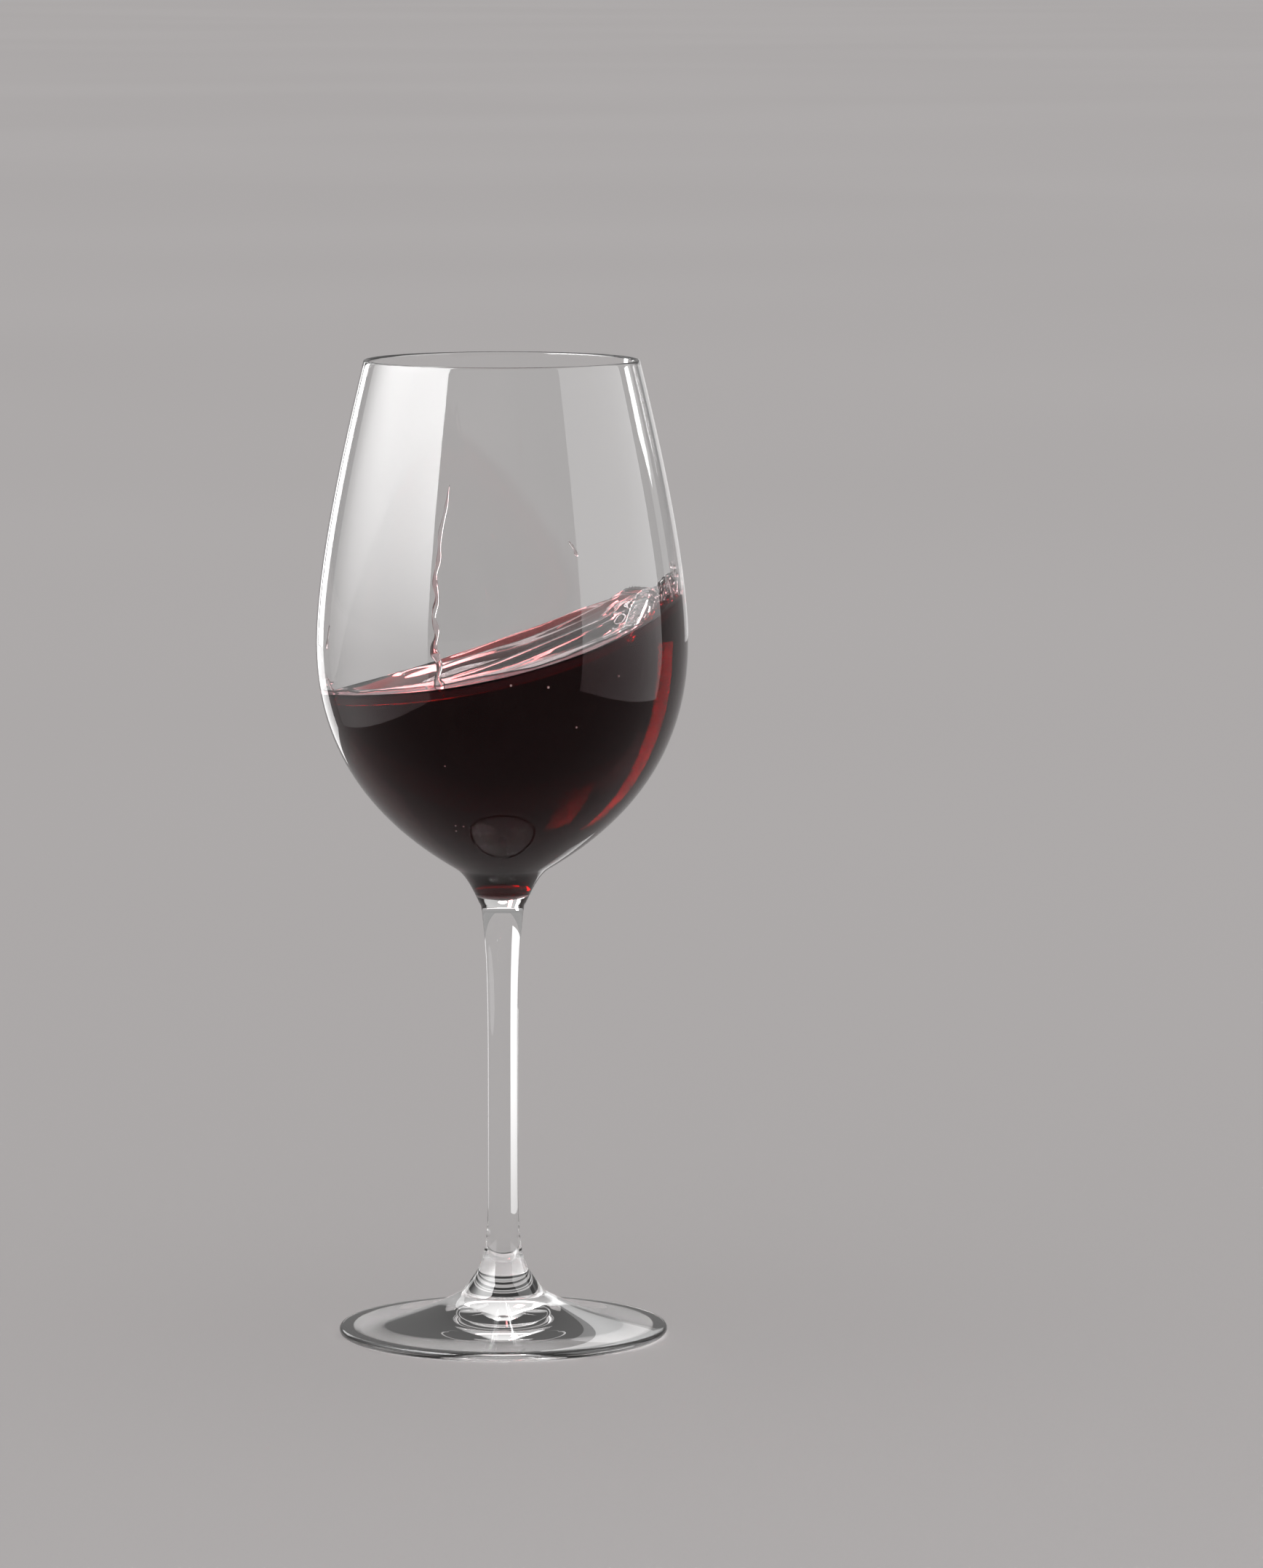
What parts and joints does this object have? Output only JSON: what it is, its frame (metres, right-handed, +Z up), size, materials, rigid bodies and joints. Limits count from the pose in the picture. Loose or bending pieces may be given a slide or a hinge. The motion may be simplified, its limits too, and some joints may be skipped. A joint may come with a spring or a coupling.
{
  "type": "glass of red wine",
  "caption": "Tall stemmed glass on a round foot, of thin clear glass, holding dark red wine that has been swirled so that it climbs one side of the bowl.",
  "frame": {"origin": "middle of the ring that the foot stands on, on the table", "axes": "+Z up along the stem, +X towards the side that the wine climbs, -Y towards the front"},
  "size_m": [0.088, 0.088, 0.232],
  "materials": {
    "glass": "clear, colourless, polished",
    "wine": "clear dark red liquid, near black in the deep middle and glowing red where it is thin"
  },
  "bodies": {
    "root": {"glass": "glass", "wine": "wine"}
  },
  "joints": []
}
